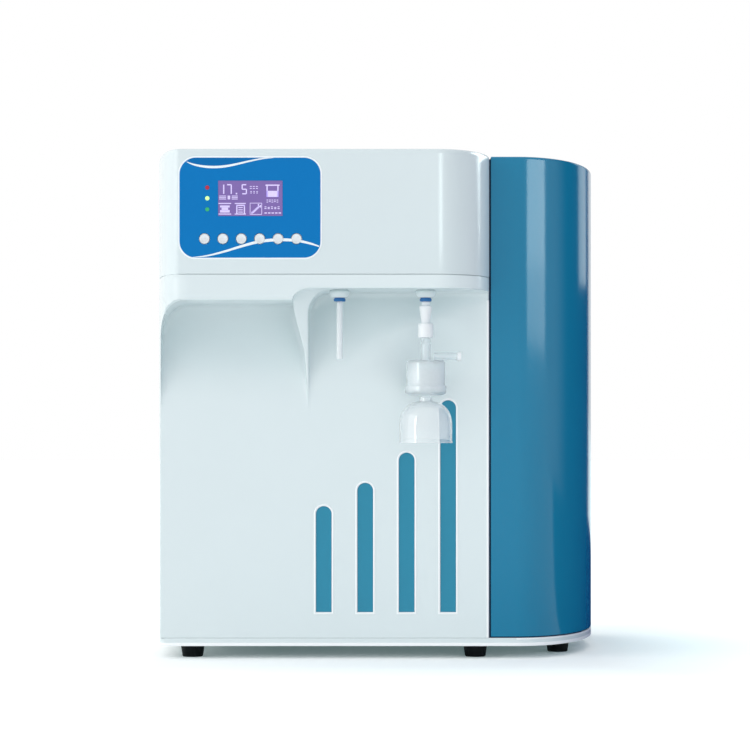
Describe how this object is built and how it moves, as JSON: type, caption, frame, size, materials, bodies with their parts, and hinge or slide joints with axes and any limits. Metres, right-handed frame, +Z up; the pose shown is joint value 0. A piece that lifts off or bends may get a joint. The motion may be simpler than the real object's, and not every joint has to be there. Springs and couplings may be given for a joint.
{
  "type": "ultrapure water system",
  "caption": "Bench-top ultrapure water unit: overhanging head with keypad and display, two outlets, a capsule filter with bell guard, and a hinged side cover over its cartridges.",
  "frame": {"origin": "under the middle of the unit's bounding box, on the surface it stands on", "axes": "+Z up, the front with keypad and outlets faces -Y, the hinged side cover is at +X"},
  "size_m": [0.4626, 0.4, 0.516],
  "materials": {
    "white_plastic": "satin moulded ABS",
    "white_metal": "powder coated steel sheet",
    "blue_cover": "gloss moulded ABS",
    "blue_insert": "satin moulded plastic",
    "overlay_blue": "printed polyester overlay",
    "display": "backlit display window",
    "board_green": "circuit board",
    "lamp_red": "tinted lens",
    "lamp_yellow": "tinted lens",
    "lamp_green": "tinted lens",
    "key_silver": "metallic key cap",
    "rubber": "moulded rubber",
    "steel": "zinc plated steel",
    "black_plastic": "moulded nylon",
    "rocker_black": "gloss moulded plastic",
    "white_fitting": "moulded acetal",
    "collet_blue": "moulded acetal",
    "grey_fitting": "moulded acetal",
    "collet_grey": "moulded acetal",
    "clear_tube": "translucent polyethylene tube",
    "clear_capsule": "clear moulded polycarbonate",
    "membrane_white": "pleated membrane",
    "cartridge_white": "moulded polypropylene",
    "cap_blue": "moulded polypropylene",
    "pump_black": "painted die casting",
    "supply_case": "folded aluminium case"
  },
  "bodies": {
    "chassis": {"base_plate": "white_plastic", "feet": "rubber", "foot_screws": "steel", "front_fascia": "white_plastic", "slot_insert": "blue_insert", "head_cover": "white_plastic", "left_panel": "white_metal", "rear_panel": "white_metal", "partition_panel": "steel", "control_overlay": "overlay_blue", "lcd_window": "display", "lcd_module": "board_green", "led_red": "lamp_red", "led_yellow": "lamp_yellow", "led_green": "lamp_green", "control_board": "board_green", "hinge_pins": "steel", "hinge_bracket": "steel", "door_magnets": "black_plastic", "nozzle_collars": "white_fitting", "nozzle_nuts": "white_fitting", "outlet_tube": "clear_tube", "cartridge_1": "cartridge_white", "cartridge_2": "cartridge_white", "cartridge_3": "cartridge_white", "cartridge_caps": "cap_blue", "cartridge_clips": "black_plastic", "bay_tubing": "clear_tube", "booster_pump": "pump_black", "membrane_housing": "cartridge_white", "uv_lamp_housing": "steel", "power_supply": "supply_case", "solenoid_valves": "black_plastic", "rear_ports": "grey_fitting", "power_module": "black_plastic", "panel_screws": "steel"},
    "door": {"side_door": "blue_cover", "door_strikes": "steel"},
    "key_1": {"key_1": "key_silver"},
    "key_2": {"key_2": "key_silver"},
    "key_3": {"key_3": "key_silver"},
    "key_4": {"key_4": "key_silver"},
    "key_5": {"key_5": "key_silver"},
    "key_6": {"key_6": "key_silver"},
    "collet_left": {"collet_left": "collet_blue"},
    "collet_right": {"collet_right": "collet_blue"},
    "adapter": {"filter_adapter": "white_fitting", "filter_ring": "white_fitting"},
    "filter": {"filter_capsule": "clear_capsule", "filter_membrane": "membrane_white", "bell_guard": "clear_capsule"},
    "vent_cap": {"vent_cap": "white_fitting"},
    "power_rocker": {"power_rocker": "rocker_black"},
    "port_collet_1": {"port_collet_1": "collet_grey"},
    "port_collet_2": {"port_collet_2": "collet_grey"},
    "port_collet_3": {"port_collet_3": "collet_grey"},
    "port_collet_4": {"port_collet_4": "collet_grey"}
  },
  "joints": [
    {"name": "door_hinge", "type": "hinge", "parent": "chassis", "child": "door", "pos_m": [0.2263, 0.178, 0.26], "axis": [0, 0, 1], "range_deg": [0, 100]},
    {"name": "key_1_press", "type": "slide", "parent": "chassis", "child": "key_1", "axis": [0, 1, 0], "range_m": [0, 0.0006], "stiffness_N_per_m": 500},
    {"name": "key_2_press", "type": "slide", "parent": "chassis", "child": "key_2", "axis": [0, 1, 0], "range_m": [0, 0.0006], "stiffness_N_per_m": 500},
    {"name": "key_3_press", "type": "slide", "parent": "chassis", "child": "key_3", "axis": [0, 1, 0], "range_m": [0, 0.0006], "stiffness_N_per_m": 500},
    {"name": "key_4_press", "type": "slide", "parent": "chassis", "child": "key_4", "axis": [0, 1, 0], "range_m": [0, 0.0006], "stiffness_N_per_m": 500},
    {"name": "key_5_press", "type": "slide", "parent": "chassis", "child": "key_5", "axis": [0, 1, 0], "range_m": [0, 0.0006], "stiffness_N_per_m": 500},
    {"name": "key_6_press", "type": "slide", "parent": "chassis", "child": "key_6", "axis": [0, 1, 0], "range_m": [0, 0.0006], "stiffness_N_per_m": 500},
    {"name": "collet_left_push", "type": "slide", "parent": "chassis", "child": "collet_left", "axis": [0, 0, 1], "range_m": [0, 0.0008]},
    {"name": "collet_right_push", "type": "slide", "parent": "chassis", "child": "collet_right", "axis": [0, 0, 1], "range_m": [0, 0.0008]},
    {"name": "filter_pull", "type": "slide", "parent": "chassis", "child": "adapter", "axis": [0, 0, -1], "range_m": [0, 0.02]},
    {"name": "filter_swivel", "type": "hinge", "parent": "adapter", "child": "filter", "pos_m": [0.046, -0.169, 0.3], "axis": [0, 0, 1], "continuous": true},
    {"name": "vent_cap_pull", "type": "slide", "parent": "filter", "child": "vent_cap", "axis": [1, 0, 0], "range_m": [0, 0.008]},
    {"name": "power_rocker_tip", "type": "hinge", "parent": "chassis", "child": "power_rocker", "pos_m": [-0.1693, 0.184, 0.0854], "axis": [1, 0, 0], "range_deg": [-20, 0]},
    {"name": "port_collet_1_push", "type": "slide", "parent": "chassis", "child": "port_collet_1", "axis": [0, -1, 0], "range_m": [0, 0.0008]},
    {"name": "port_collet_2_push", "type": "slide", "parent": "chassis", "child": "port_collet_2", "axis": [0, -1, 0], "range_m": [0, 0.0008]},
    {"name": "port_collet_3_push", "type": "slide", "parent": "chassis", "child": "port_collet_3", "axis": [0, -1, 0], "range_m": [0, 0.0008]},
    {"name": "port_collet_4_push", "type": "slide", "parent": "chassis", "child": "port_collet_4", "axis": [0, -1, 0], "range_m": [0, 0.0008]}
  ]
}
